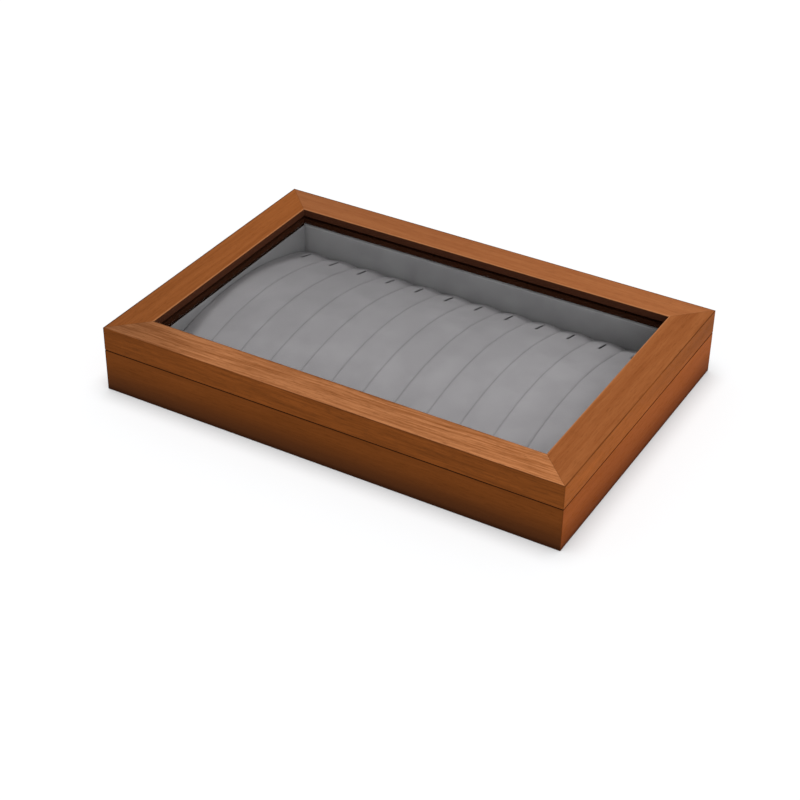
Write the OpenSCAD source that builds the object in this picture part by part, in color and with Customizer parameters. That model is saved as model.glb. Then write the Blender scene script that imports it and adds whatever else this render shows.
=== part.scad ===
// Flat wooden display box: a mitred base, a hinged lid with a glass pane, and a velvet tray with an arched pad.
// The box stands on z = 0 with its front towards -Y and its hinges at the back. All sizes are in millimetres.

/* [Box] */
// Length of the box, left to right
box_l = 350; // [280:5:420]
// Width of the box, front to back, without the hinge barrels
box_w = 240; // [190:5:300]
// Height of the base, up to the seam
base_h = 32; // [30:1:50]
// Height of the lid frame
lid_h = 18; // [16:1:28]
// Rounding of the outer edges and of the edge round the glass
edge_r = 0.6; // [0.4:0.1:2]
// Rounding of the two edges that meet at the seam
seam_r = 0.8; // [0.2:0.1:1]

/* [Lid frame] */
// Width of a lid rail, seen from above
rail_w = 25; // [20:1:34]
// Width of the rebate that the glass and its beads lie in
rebate_w = 5; // [3:0.5:7]
// Thickness of the lip above the glass
lip_t = 5.5; // [4:0.5:8]
// Thickness of the glass
glass_t = 2; // [1.5:0.5:3]
// Room for the glass at each edge
glass_clear = 0.5; // [0.2:0.1:1]
// Height of a glass bead
bead_h = 4.5; // [3:0.5:5]
// Rounding of the lower edge of a glass bead
bead_r = 0.8; // [0.3:0.1:1.5]

/* [Brads] */
// Diameter of a brad
brad_d = 1; // [0.8:0.1:1.4]
// Length of a brad
brad_l = 12; // [9:1:15]
// Most room between two brads in a bead
brad_step = 80; // [50:5:120]

/* [Base] */
// Width of the rebate under the rails that holds the bottom panel
ledge_w = 8; // [5:1:12]
// Thickness of the bottom panel
panel_t = 4; // [3:0.5:6]
// Thickness of the felt under the panel
felt_t = 1; // [0.8:0.1:2]
// Room round the bottom panel and its felt
panel_clear = 0.3; // [0.1:0.1:1]

/* [Corner keys] */
// Length of a key across the mitre
key_l = 12; // [8:1:14]
// Width of a key along the mitre
key_w = 8; // [5:1:10]
// Thickness of a key
key_t = 3; // [2:0.5:4]
// Room round a key in its slot
key_clear = 0.1; // [0.05:0.05:0.3]

/* [Tray] */
// Room between the tray and the box
tray_clear = 0.5; // [0.3:0.1:1.5]
// Thickness of a velvet-covered tray wall
wall_t = 6; // [4:0.5:9]
// Rounding of the top edges of a tray wall
wall_r = 1.5; // [0.5:0.1:1.9]
// Gap between a tray wall and the glass bead above it
wall_gap = 0.5; // [0.3:0.1:2]
// Thickness of the tray floor
floor_t = 3; // [2:0.5:5]

/* [Pad] */
// Number of lanes across the pad
lanes = 12; // [4:1:14]
// Height of the pad's crest above the tray floor
pad_rise = 27.5; // [24:0.5:28]
// Drop from the crest to the pad's back edge
pad_drop = 20; // [8:0.5:20]
// How far the crest lies in front of the middle
crest_shift = 5; // [0:1:15]
// Room between the pad and the tray walls
pad_clear = 0.7; // [0.5:0.1:2]
// Thickness of the padded velvet over the core
cover_t = 1.5; // [1.2:0.1:3]
// Rise of each lane's middle over its edges
lane_crown = 0.4; // [0.2:0.1:0.6]
// Width of the line between two lanes
line_w = 0.8; // [0.4:0.1:1.4]
// Length of a slit
slit_l = 15.5; // [8:0.5:20]
// Width of a slit
slit_w = 1; // [0.6:0.1:2]
// Depth of a slit under the pad's surface
slit_d = 4; // [3:0.5:6]
// Distance from the back end of a slit to the pad's back edge
slit_inset = 11; // [6:0.5:20]

/* [Hinges] */
// Distance from the end of the box to the middle of a hinge
hinge_inset = 60; // [45:5:90]
// Width of a hinge along its pin
hinge_w = 30; // [25:1:45]
// Depth of a leaf inside the seam
leaf_d = 13; // [10:0.5:14]
// Thickness of a leaf
leaf_t = 1.2; // [1:0.1:1.6]
// Number of knuckles, an odd number
knuckles = 5; // [3:2:7]
// Radius of the pin
pin_r = 1; // [0.8:0.1:1.2]
// Running clearance round the pin
pin_clear = 0.05; // [0.02:0.01:0.08]
// Gap between two knuckles
knuckle_gap = 0.2; // [0.1:0.05:0.4]
// Gap between the barrel and the back of the box
barrel_gap = 0.3; // [0.2:0.1:1]
// Room round a leaf in its mortise
mortise_clear = 0.2; // [0.1:0.1:0.5]
// How far the lid opens, in degrees
open_max = 100; // [85:1:110]
// Reach of the stop heels from the middle of the pin
heel_reach = 5.2; // [4.5:0.1:7]

/* [Hinge screws] */
// Diameter of a screw's shank
screw_d = 1.8; // [1.4:0.1:2.2]
// Diameter of a screw's countersunk head
screw_head_d = 3.8; // [3.2:0.1:4.4]
// Length of a screw with its head
screw_l = 8; // [6:0.5:10]
// Distance from the back of the box to the row of screws
screw_inset = 7; // [5.5:0.5:8]
// Radial room round a screw in its hole
screw_clear = 0.05; // [0.02:0.01:0.2]

/* [Hidden] */
$fn = 48;
arch_fn = 720;
over = 1;
stain = "#9a5c31";
stain_dark = "#794320";
velvet = "#8f8d8e";
velvet_dark = "#5e5e5f";
brass = "#b9975b";

base_t = rail_w - rebate_w;
box_h = base_h + lid_h;
glass_z = box_h - lip_t - glass_t;
bead_z = glass_z - bead_h;
tray_z = felt_t + panel_t;
floor_z = tray_z + floor_t;
wall_h = bead_z - wall_gap - tray_z;

base_key_z = base_h / 2;
lid_key_z = base_h + lid_h / 2;
brad_clear = 0.05;

rebate_l = box_l - 2 * base_t;
rebate_d = box_w - 2 * base_t;
panel_l = rebate_l + 2 * (ledge_w - panel_clear);
panel_w = rebate_d + 2 * (ledge_w - panel_clear);
tray_l = rebate_l - 2 * tray_clear;
tray_w = rebate_d - 2 * tray_clear;
inner_l = tray_l - 2 * wall_t;
inner_w = tray_w - 2 * wall_t;
pad_l = inner_l - 2 * pad_clear;
pad_w = inner_w - 2 * pad_clear;
lane_w = pad_l / lanes;

// The arch passes through the crest and, pad_drop lower, through the back edge
back_reach = pad_w / 2 + crest_shift;
arch_r = (pow(back_reach, 2) + pow(pad_drop, 2)) / (2 * pad_drop);
crest_z = floor_z + pad_rise;
slit_y = pad_w / 2 - slit_inset - slit_l / 2;
slit_tilt = asin((slit_y + crest_shift) / arch_r);

barrel_r = 2 * leaf_t;
pin_y = box_w / 2 + barrel_gap + barrel_r;
hinge_x = box_l / 2 - hinge_inset;
knuckle_w = hinge_w / knuckles;
heel_play_angle = 1;
heel_angle = (open_max + heel_play_angle) / 2;
heel_t = leaf_t;
head_sink = 0.1;
head_land = 0.2;
head_h = leaf_t - head_sink - head_land;
screw_x = hinge_w / 4;
screw_y = box_w / 2 - screw_inset;
tip_h = screw_d;
slot_w = 0.5;
slot_h = 0.4;

// Each side of the box, drawn as if it were the front: outer face on y = 0, inwards is +y
module on_front(w = box_w) translate([0, -w / 2, 0]) children();
module on_back(w = box_w) rotate(180) on_front(w) children();
module on_right(l = box_l) rotate(90) on_front(l) children();
module on_left(l = box_l) rotate(-90) on_front(l) children();
module on_corners(l, w) for (sx = [-1, 1], sy = [-1, 1])
    translate([sx * l / 2, sy * w / 2, 0]) rotate(-45 * sx * sy) children();
module at_hinges() for (s = [-1, 1]) translate([s * hinge_x, 0, 0]) children();

// What a rounding takes off a square corner at the origin that fills the first quarter
module corner_waste(r) difference() {
    translate([-over, -over]) square(r + over);
    translate([r, r]) circle(r);
}

// A w by h section with its corners rounded: outer foot, outer top, inner top, inner foot
module section(w, h, outer_foot, outer_top, inner_top, inner_foot) difference() {
    square([w, h]);
    if (outer_foot > 0) corner_waste(outer_foot);
    if (outer_top > 0) translate([0, h]) mirror([0, 1]) corner_waste(outer_top);
    if (inner_top > 0) translate([w, h]) rotate(180) corner_waste(inner_top);
    if (inner_foot > 0) translate([w, 0]) mirror([1, 0]) corner_waste(inner_foot);
}

// The outline of a mitred rail from above, with its two outer corners rounded
module mitre_outline(l, w, r) difference() {
    polygon([[-l / 2, 0], [l / 2, 0], [l / 2 - w, w], [-l / 2 + w, w]]);
    if (r > 0) for (side = [0, 1]) mirror([side, 0]) translate([-l / 2, 0]) corner_waste(r);
}

// A mitred length of the section drawn by its child, which has x across the rail and y upwards
module mitred(l, w, h, r = 0) intersection() {
    rotate([90, 0, 90]) translate([0, 0, -l / 2]) linear_extrude(l) children();
    linear_extrude(h) mitre_outline(l, w, r);
}

module corner_keys(z, room = 0) translate([0, 0, z]) on_corners(box_l - base_t, box_w - base_t)
    cube([key_l + 2 * room, key_w + 2 * room, key_t + 2 * room], center = true);

// Base rails
module base_rail(l) mitred(l, base_t, base_h, edge_r) difference() {
    section(base_t, base_h, edge_r, seam_r, 0, 0);
    translate([base_t - ledge_w, -over]) square([ledge_w + over, over + tray_z]);
}
module base_rail_front() color(stain) difference() {
    on_front() base_rail(box_l);
    corner_keys(base_key_z, key_clear);
}
module base_rail_left() color(stain) difference() {
    on_left() base_rail(box_w);
    corner_keys(base_key_z, key_clear);
}
module base_rail_right() color(stain) difference() {
    on_right() base_rail(box_w);
    corner_keys(base_key_z, key_clear);
}
module base_rail_back() color(stain) difference() {
    on_back() base_rail(box_l);
    corner_keys(base_key_z, key_clear);
    at_hinges() base_hinge_room();
}
module base_corner_keys() color(stain_dark) corner_keys(base_key_z);

// Bottom panel and felt, in the rebate under the base rails
module plate(l, w, t, z) translate([-l / 2, -w / 2, z]) cube([l, w, t]);
module base_panel() color(stain_dark) plate(panel_l, panel_w, panel_t, felt_t);
module base_felt() color("#1d1b1c") plate(panel_l, panel_w, felt_t, 0);

// Tray: a floor inside four mitred walls that stand up into the lid's rebate
module tray_floor() color(velvet_dark) plate(inner_l, inner_w, floor_t, tray_z);
module tray_wall(l) translate([0, 0, tray_z]) mitred(l, wall_t, wall_h)
    section(wall_t, wall_h, 0, wall_r, wall_r, 0);
module tray_wall_front() color(velvet_dark) on_front(tray_w) tray_wall(tray_l);
module tray_wall_back() color(velvet_dark) on_back(tray_w) tray_wall(tray_l);
module tray_wall_left() color(velvet_dark) on_left(tray_l) tray_wall(tray_w);
module tray_wall_right() color(velvet_dark) on_right(tray_l) tray_wall(tray_w);

// Pad: a core with an arched top, and a velvet cover with crowned lanes
module arch_frame() translate([0, -crest_shift, crest_z - arch_r]) children();
module slits() for (i = [0 : lanes - 1]) arch_frame()
    rotate([-slit_tilt, 0, 0]) translate([(i - (lanes - 1) / 2) * lane_w, 0, arch_r])
        cube([slit_w, slit_l, 2 * slit_d], center = true);
// Half of the pad cut along its length: radius across, lanes upwards, each lane's edge a lane_crown lower
lane_outline = [
    for (i = [0 : lanes - 1], t = [-1, -0.5, 0, 0.5, 1])
        [arch_r - lane_crown * t * t, (i - (lanes - 1) / 2 + t / 2) * lane_w]
];
module lane_section() polygon(concat([[0, -pad_l / 2]], lane_outline, [[0, pad_l / 2]]));
module pad_lines() for (i = [1 : lanes - 1]) translate([arch_r - lane_crown, (i - lanes / 2) * lane_w])
    circle(d = line_w, $fn = 4);
module pad_block() intersection() {
    plate(pad_l, pad_w, pad_rise, floor_z);
    arch_frame() rotate([0, 90, 0]) rotate_extrude($fn = arch_fn) difference() {
        lane_section();
        pad_lines();
    }
}
module pad_core() intersection() {
    plate(pad_l - 2 * cover_t, pad_w - 2 * cover_t, pad_rise, floor_z);
    arch_frame() rotate([0, 90, 0]) cylinder(r = arch_r - cover_t, h = pad_l, center = true, $fn = arch_fn);
}
module pad_foam() color("gainsboro") difference() {
    pad_core();
    slits();
}
module pad_cover() color(velvet) difference() {
    pad_block();
    pad_core();
    slits();
}

// Hinge pieces, drawn with the hinge's middle on x = 0. The lid leaf is the base leaf turned over at the seam.
module on_pin() translate([0, pin_y, base_h]) children();
module along_x(r, l) rotate([0, 90, 0]) cylinder(r = r, h = l, center = true);
module at_knuckles(first) for (i = [first : 2 : knuckles - 1])
    translate([(i - (knuckles - 1) / 2) * knuckle_w, 0, 0]) children();
module leaf_screw_places() for (s = [-1, 1]) translate([s * screw_x, screw_y, base_h]) children();
module pilot_hole() translate([0, 0, -screw_l - screw_clear])
    cylinder(d = screw_d + 2 * screw_clear, h = screw_l + screw_clear + over);
module countersink() translate([0, 0, -head_sink]) {
    translate([0, 0, -head_h])
        cylinder(d1 = screw_d + 2 * screw_clear, d2 = screw_head_d + 2 * screw_clear, h = head_h);
    cylinder(d = screw_head_d + 2 * screw_clear, h = over);
}
module screw() difference() {
    rotate_extrude() polygon([
        [0, -screw_l], [screw_d / 2, tip_h - screw_l], [screw_d / 2, -head_sink - head_h],
        [screw_head_d / 2, -head_sink], [0, -head_sink]
    ]);
    translate([-screw_head_d, -slot_w / 2, -head_sink - slot_h]) cube([2 * screw_head_d, slot_w, slot_h + over]);
}
module screws() leaf_screw_places() screw();
module heel(width, from) rotate([-heel_angle, 0, 0])
    translate([-width / 2, from, -heel_t]) cube([width, heel_reach - from, heel_t]);
module leaf(first) difference() {
    union() {
        translate([-hinge_w / 2, box_w / 2 - leaf_d, base_h - leaf_t]) cube([hinge_w, leaf_d, leaf_t]);
        on_pin() at_knuckles(first) {
            along_x(barrel_r, knuckle_w - knuckle_gap);
            translate([-(knuckle_w - knuckle_gap) / 2, -barrel_r - barrel_gap - leaf_t, -leaf_t])
                cube([knuckle_w - knuckle_gap, barrel_r + barrel_gap + leaf_t, leaf_t]);
            heel(knuckle_w - knuckle_gap, pin_r + leaf_t / 2);
        }
        on_pin() heel(hinge_w, barrel_r + barrel_gap);
    }
    on_pin() along_x(pin_r + pin_clear, hinge_w + over);
    leaf_screw_places() {
        pilot_hole();
        countersink();
    }
}
module turned_over() translate([0, 0, base_h]) mirror([0, 0, 1]) translate([0, 0, -base_h]) children();
module base_hinge_room() {
    translate([-hinge_w / 2 - mortise_clear, box_w / 2 - leaf_d - mortise_clear, base_h - leaf_t])
        cube([hinge_w + 2 * mortise_clear, leaf_d + mortise_clear + over, leaf_t + over]);
    leaf_screw_places() pilot_hole();
}
module hinge_pin() color(brass) on_pin() along_x(pin_r, hinge_w);
module hinge_left_base_leaf() color(brass) translate([-hinge_x, 0, 0]) leaf(0);
module hinge_right_base_leaf() color(brass) translate([hinge_x, 0, 0]) leaf(0);
module hinge_left_lid_leaf() color(brass) translate([-hinge_x, 0, 0]) turned_over() leaf(1);
module hinge_right_lid_leaf() color(brass) translate([hinge_x, 0, 0]) turned_over() leaf(1);
module hinge_left_pin() translate([-hinge_x, 0, 0]) hinge_pin();
module hinge_right_pin() translate([hinge_x, 0, 0]) hinge_pin();
module base_hinge_screws() color(brass) at_hinges() screws();
module lid_hinge_screws() color(brass) at_hinges() turned_over() screws();

// Lid rails
module lid_rail(l) translate([0, 0, base_h]) mitred(l, rail_w, lid_h, edge_r) difference() {
    section(rail_w, lid_h, seam_r, edge_r, edge_r, 0);
    translate([base_t, -over]) square([rebate_w + over, lid_h - lip_t + over]);
}
module lid_rail_cuts() {
    corner_keys(lid_key_z, key_clear);
    brads(brad_clear);
}
module lid_rail_front() color(stain) difference() {
    on_front() lid_rail(box_l);
    lid_rail_cuts();
}
module lid_rail_left() color(stain) difference() {
    on_left() lid_rail(box_w);
    lid_rail_cuts();
}
module lid_rail_right() color(stain) difference() {
    on_right() lid_rail(box_w);
    lid_rail_cuts();
}
module lid_rail_back() color(stain) difference() {
    on_back() lid_rail(box_l);
    lid_rail_cuts();
    at_hinges() turned_over() base_hinge_room();
}
module lid_corner_keys() color(stain_dark) corner_keys(lid_key_z);

// Glass and the beads that hold it up against the lip
module glass_pane() color("lightcyan", 0.35)
    plate(rebate_l - 2 * glass_clear, rebate_d - 2 * glass_clear, glass_t, glass_z);
module glass_bead(l) translate([0, 0, bead_z]) mitred(l, rebate_w, bead_h)
    section(rebate_w, bead_h, 0, 0, 0, bead_r);
module glass_bead_front() color(stain_dark) difference() {
    on_front(rebate_d) glass_bead(rebate_l);
    brads(brad_clear);
}
module glass_bead_back() color(stain_dark) difference() {
    on_back(rebate_d) glass_bead(rebate_l);
    brads(brad_clear);
}
module glass_bead_left() color(stain_dark) difference() {
    on_left(rebate_l) glass_bead(rebate_d);
    brads(brad_clear);
}
module glass_bead_right() color(stain_dark) difference() {
    on_right(rebate_l) glass_bead(rebate_d);
    brads(brad_clear);
}

// Brads, level with the face of the bead and driven outwards into the rail
module brad_row(l, room) {
    n = ceil(l / brad_step);
    for (i = [0 : n - 1]) translate([(i - (n - 1) / 2) * l / n, rebate_w, bead_z + bead_h / 2])
        rotate([90, 0, 0]) translate([0, 0, room > 0 ? -over : 0])
            cylinder(d = brad_d + 2 * room, h = brad_l + room + (room > 0 ? over : 0));
}
module brads(room = 0) {
    on_front(rebate_d) brad_row(rebate_l, room);
    on_back(rebate_d) brad_row(rebate_l, room);
    on_left(rebate_l) brad_row(rebate_d, room);
    on_right(rebate_l) brad_row(rebate_d, room);
}
module bead_brads() color("silver") brads();

base_rail_front();
base_rail_back();
base_rail_left();
base_rail_right();
base_corner_keys();
base_panel();
base_felt();
tray_floor();
tray_wall_front();
tray_wall_back();
tray_wall_left();
tray_wall_right();
pad_foam();
pad_cover();
hinge_left_base_leaf();
hinge_right_base_leaf();
hinge_left_pin();
hinge_right_pin();
base_hinge_screws();
lid_rail_front();
lid_rail_back();
lid_rail_left();
lid_rail_right();
lid_corner_keys();
glass_pane();
glass_bead_front();
glass_bead_back();
glass_bead_left();
glass_bead_right();
bead_brads();
hinge_left_lid_leaf();
hinge_right_lid_leaf();
lid_hinge_screws();
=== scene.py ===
# %% [markdown]
# A jewellery display box, dressed for a studio picture. The CAD model brings the frame: mitred rails,
# glass, beads, hinges, tray and pad, each in its real place and size. This script gives every surface
# its finish and models the soft pieces, which CAD only holds as plain solids. Every size here is in
# metres, and MM turns a value that is easier to read in millimetres into metres.

# %% Load the frame
import math

import bmesh
import bpy
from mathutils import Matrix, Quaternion, Vector, noise


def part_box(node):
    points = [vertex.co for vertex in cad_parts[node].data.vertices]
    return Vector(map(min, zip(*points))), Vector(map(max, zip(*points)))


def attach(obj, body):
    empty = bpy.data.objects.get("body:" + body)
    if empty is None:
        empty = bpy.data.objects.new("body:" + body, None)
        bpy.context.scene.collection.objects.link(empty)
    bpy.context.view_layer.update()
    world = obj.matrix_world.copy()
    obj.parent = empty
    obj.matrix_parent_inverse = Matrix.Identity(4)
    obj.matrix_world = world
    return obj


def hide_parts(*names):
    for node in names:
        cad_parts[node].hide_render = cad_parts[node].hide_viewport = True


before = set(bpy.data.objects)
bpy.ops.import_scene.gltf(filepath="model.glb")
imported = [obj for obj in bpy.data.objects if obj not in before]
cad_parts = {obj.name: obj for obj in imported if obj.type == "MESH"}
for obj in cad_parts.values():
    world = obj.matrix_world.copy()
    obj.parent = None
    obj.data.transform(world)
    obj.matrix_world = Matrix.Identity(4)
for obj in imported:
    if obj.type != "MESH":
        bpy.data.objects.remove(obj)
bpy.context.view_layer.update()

MM = 0.001

# %% [markdown]
# The camera looks down on the right front corner, as in a catalogue picture. A long lens keeps the
# edges nearly parallel. The camera is placed by its azimuth, elevation and distance from the point that
# it aims at, and a touch of roll levels the picture.

# %% Camera
CAMERA_AIM = Vector((-2.8, -11.1, -12.2)) * MM
CAMERA_AZIMUTH = math.radians(29.69)
CAMERA_ELEVATION = math.radians(34.06)
CAMERA_ROLL = math.radians(0.88)
CAMERA_DISTANCE = 1285.8 * MM
CAMERA_LENS = 82.05

camera_data = bpy.data.cameras.new("camera")
camera_data.lens = CAMERA_LENS
camera_data.sensor_width = 36
camera = bpy.data.objects.new("camera", camera_data)
bpy.context.scene.collection.objects.link(camera)
bpy.context.scene.camera = camera
towards_camera = Vector((
    math.sin(CAMERA_AZIMUTH) * math.cos(CAMERA_ELEVATION),
    -math.cos(CAMERA_AZIMUTH) * math.cos(CAMERA_ELEVATION),
    math.sin(CAMERA_ELEVATION),
))
camera.location = CAMERA_AIM + towards_camera * CAMERA_DISTANCE
camera.rotation_mode = "QUATERNION"
look = towards_camera.to_track_quat("Z", "Y")
camera.rotation_quaternion = look @ Quaternion((0, 0, 1), CAMERA_ROLL)
print("camera at", [round(place, 3) for place in camera.location])

# %% [markdown]
# Colours are written as sRGB hex values, as a colour picker shows them, but a shader works with linear
# light. One function turns the first into the second. Another small function adds a node, sets it and
# links it, so that a material reads as a list of what its surface is made of.

# %% Colours and nodes
def linear(hex_colour):
    """The linear RGBA of an sRGB hex colour."""
    parts = [int(hex_colour[start:start + 2], 16) / 255 for start in (1, 3, 5)]
    return (*[c / 12.92 if c <= 0.04045 else ((c + 0.055) / 1.055) ** 2.4 for c in parts], 1.0)


def add(tree, kind, inputs=None, **settings):
    """Adds a node. An input is a value, another node's socket, or a node, which gives its first output."""
    node = tree.nodes.new("ShaderNode" + kind)
    for name, value in settings.items():
        setattr(node, name, value)
    for name, value in (inputs or {}).items():
        if isinstance(value, bpy.types.Node):
            value = value.outputs[0]
        if isinstance(value, bpy.types.NodeSocket):
            tree.links.new(value, node.inputs[name])
        else:
            node.inputs[name].default_value = value
    return node


def new_material(name):
    """An empty material, its node tree and its output."""
    material = bpy.data.materials.new(name)
    material.use_nodes = True
    material.node_tree.nodes.clear()
    return material, material.node_tree, material.node_tree.nodes.new("ShaderNodeOutputMaterial")


print("stain brown in linear light:", [round(c, 3) for c in linear("#9d5f33")])

# %% [markdown]
# The studio is a white sweep and three lamps. The key lamp stands high behind the left corner, so the
# top is the brightest face and the frame throws a soft shadow on the left and the back of the pad. A
# broad fill lamp from the right lifts the short side. The third lamp hangs straight over the sweep and
# lights nothing but the sweep, which gives the box a short soft shadow all round: light linking says
# which objects a lamp reaches.

# %% Lamps
KEY_TOWARDS = Vector((-0.54, 0.47, 1.0))
KEY_STRENGTH = 1.6
KEY_ANGLE = math.radians(15)
FILL_TOWARDS = Vector((1.0, -0.5, 0.45))
FILL_STRENGTH = 1.3
FILL_ANGLE = math.radians(60)
STRAIGHT_UP = Vector((0, 0, 1))
SWEEP_STRENGTH = 3.6
SWEEP_ANGLE = math.radians(40)


def sun(name, towards, strength, angle):
    """A far lamp. Its angle is how wide it looks from the box, which sets how soft its shadows are."""
    lamp = bpy.data.lights.new(name, "SUN")
    lamp.energy = strength
    lamp.angle = angle
    lamp_object = bpy.data.objects.new(name, lamp)
    lamp_object.rotation_euler = towards.to_track_quat("Z", "Y").to_euler()
    bpy.context.scene.collection.objects.link(lamp_object)
    return lamp_object


def reach(lamp_object, target, state):
    """Makes a lamp light only the target, with INCLUDE, or everything but the target, with EXCLUDE."""
    reached = bpy.data.collections.new(lamp_object.name + "_reach")
    reached.objects.link(target)
    reached.collection_objects[0].light_linking.link_state = state
    lamp_object.light_linking.receiver_collection = reached


print("key lamp height in degrees:", round(math.degrees(math.asin(KEY_TOWARDS.normalized().z))))

# %% [markdown]
# The world gives even light from everywhere. The Light Path node tells rays apart: those that carry
# light on meet a dim world, and those that come from the camera, from a reflection or through glass see
# plain white. So the background is white and adds no more light than the studio needs.

# %% World
WORLD_STRENGTH = 0.45


def seen_directly(tree):
    """1 for rays from the camera, from a reflection or through glass, 0 for those that carry light."""
    path = add(tree, "LightPath")
    seen = add(tree, "Math", {0: path.outputs["Is Camera Ray"], 1: path.outputs["Is Glossy Ray"]},
               operation="MAXIMUM")
    return add(tree, "Math", {0: seen, 1: path.outputs["Is Transmission Ray"]}, operation="MAXIMUM")


world = bpy.data.worlds.new("studio")
bpy.context.scene.world = world
world.use_nodes = True
world.node_tree.nodes.clear()
world_light = add(world.node_tree, "MapRange", {"Value": seen_directly(world.node_tree),
                                                "To Min": WORLD_STRENGTH, "To Max": 1.0})
background = add(world.node_tree, "Background", {"Color": (1, 1, 1, 1), "Strength": world_light})
world_output = world.node_tree.nodes.new("ShaderNodeOutputWorld")
world.node_tree.links.new(background.outputs[0], world_output.inputs["Surface"])
print("world light:", WORLD_STRENGTH)

# %% [markdown]
# The sweep is a sheet of white paper, wide enough to fill the picture. Its lamp makes it white to the
# camera, with the shadow of the box on it, and a faint glow of its own lifts that shadow. The light
# that it bounces up at the box is that of a greyer paper, so the foot of the box stays dark.

# %% White sweep
FLOOR_SIDE = 8.0
FLOOR_BOUNCE = linear("#a0a0a0")
FLOOR_SHADE = linear("#c3c4c5")
FLOOR_GLOW = 0.15

bm = bmesh.new()
bmesh.ops.create_grid(bm, x_segments=1, y_segments=1, size=FLOOR_SIDE / 2)
floor_mesh = bpy.data.meshes.new("floor")
bm.to_mesh(floor_mesh)
bm.free()
floor = bpy.data.objects.new("floor", floor_mesh)
bpy.context.scene.collection.objects.link(floor)

paper, tree, output = new_material("white_paper_sweep")
seen = seen_directly(tree)
shade = add(tree, "Mix", {0: seen, 6: FLOOR_BOUNCE, 7: FLOOR_SHADE}, data_type="RGBA")
glow_strength = add(tree, "Math", {0: seen, 1: FLOOR_GLOW}, operation="MULTIPLY")
matt = add(tree, "BsdfDiffuse", {"Color": shade.outputs[2]})
glow = add(tree, "Emission", {"Color": (1, 1, 1, 1), "Strength": glow_strength})
both = add(tree, "AddShader", {0: matt, 1: glow})
tree.links.new(both.outputs[0], output.inputs["Surface"])
floor_mesh.materials.append(paper)

reach(sun("key_lamp", KEY_TOWARDS, KEY_STRENGTH, KEY_ANGLE), floor, "EXCLUDE")
reach(sun("fill_lamp", FILL_TOWARDS, FILL_STRENGTH, FILL_ANGLE), floor, "EXCLUDE")
reach(sun("sweep_lamp", STRAIGHT_UP, SWEEP_STRENGTH, SWEEP_ANGLE), floor, "INCLUDE")

view = bpy.context.scene.view_settings
view.view_transform = "Standard"
print("lamps:", len(bpy.data.lights), "floor side in m:", FLOOR_SIDE)

# %% [markdown]
# The rails are ash, a pale wood with straight grain and open pores, under a brown stain and a matt
# lacquer. Stain sinks deeper into the open spring wood, so it draws the grain as fine dark lines along
# each rail. The pattern is solid, as in a real board: noise that is stretched along the grain, read in
# Object coordinates, so that the lines of the top run on over the edge and down the side. Each rail is
# turned to its own length and reads another place in the noise, because no two rails come from one
# place in the board.

# %% Boards
GRAIN_LENGTH = 45 * MM
GRAIN_WIDTH = 1.9 * MM
FIGURE_LENGTH = 170 * MM
FIGURE_WIDTH = 9 * MM
PORE_LENGTH = 7 * MM
PORE_WIDTH = 0.7 * MM
WANDER_LENGTH = 90 * MM
WANDER_AMOUNT = 2.4 * MM
NEXT_BOARD = (0.83, 0.41, 0.27)
GRAIN_SLOPE = math.radians(0.7)


def board_noise(tree, place, length, width, detail, roughness):
    """Noise that is stretched to length along x and is width wide across it, from 0 to 1."""
    size = (1 / length, 1 / width, 1 / width)
    stretched = add(tree, "VectorMath", {0: place, 1: size}, operation="MULTIPLY")
    pattern = add(tree, "TexNoise", {"Vector": stretched, "Scale": 1.0, "Detail": detail,
                                     "Roughness": roughness})
    return pattern.outputs[0]


def board_place(tree, board, turned):
    """Where a point of a rail lies in the wood that it was sawn from: x runs along the grain, which slopes
    a little and wanders sideways. The second output is that wandering, from 0 to 1."""
    shift = tuple(board * part for part in NEXT_BOARD)
    slope = GRAIN_SLOPE * (-1) ** board
    along_y = math.radians(90) if turned else 0.0
    place = add(tree, "Mapping", {"Vector": add(tree, "TexCoord").outputs["Object"], "Location": shift,
                                  "Rotation": (0, slope, along_y + slope)})
    wander = board_noise(tree, place, WANDER_LENGTH, WANDER_LENGTH / 3, 1, 0.5)
    offset = add(tree, "Math", {0: wander, 1: WANDER_AMOUNT}, operation="MULTIPLY")
    sideways = add(tree, "CombineXYZ", {1: offset, 2: offset})
    return add(tree, "VectorMath", {0: place, 1: sideways}, operation="ADD"), wander


print("grain lines in mm:", round(GRAIN_LENGTH / MM), "x", round(GRAIN_WIDTH / MM, 1))

# %% [markdown]
# Stain and dirt also gather in lines: on the mitres, in the groove of the seam and along the edges, and at
# the foot a painted shade darkens the wood towards the table. Each of these lines is drawn by a distance,
# such as how far a point lies inside the outer face. No board is one tone from end to end, and the light
# falls off along it, so a second helper gives a value that changes along a rail: partly tone, partly
# painted light.

# %% Distances on the box
BOX_HALF_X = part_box("lid_rail_right")[1].x
BOX_HALF_Y = -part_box("lid_rail_front")[0].y
LID_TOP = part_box("lid_rail_front")[1].z
SEAM_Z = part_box("lid_rail_front")[0].z
RAIL_W = BOX_HALF_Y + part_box("lid_rail_front")[1].y


def edge_distances(tree):
    """How far a point of the box lies inside its ends, its long sides, its top and its nearest side."""
    spot = add(tree, "SeparateXYZ", {0: add(tree, "TexCoord").outputs["Object"]})
    x = add(tree, "Math", {0: spot.outputs[0]}, operation="ABSOLUTE")
    y = add(tree, "Math", {0: spot.outputs[1]}, operation="ABSOLUTE")
    from_end = add(tree, "Math", {0: BOX_HALF_X, 1: x}, operation="SUBTRACT")
    from_side = add(tree, "Math", {0: BOX_HALF_Y, 1: y}, operation="SUBTRACT")
    from_top = add(tree, "Math", {0: LID_TOP, 1: spot.outputs[2]}, operation="SUBTRACT")
    from_out = add(tree, "Math", {0: from_end, 1: from_side}, operation="MINIMUM")
    return from_end, from_side, from_top, from_out


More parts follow.
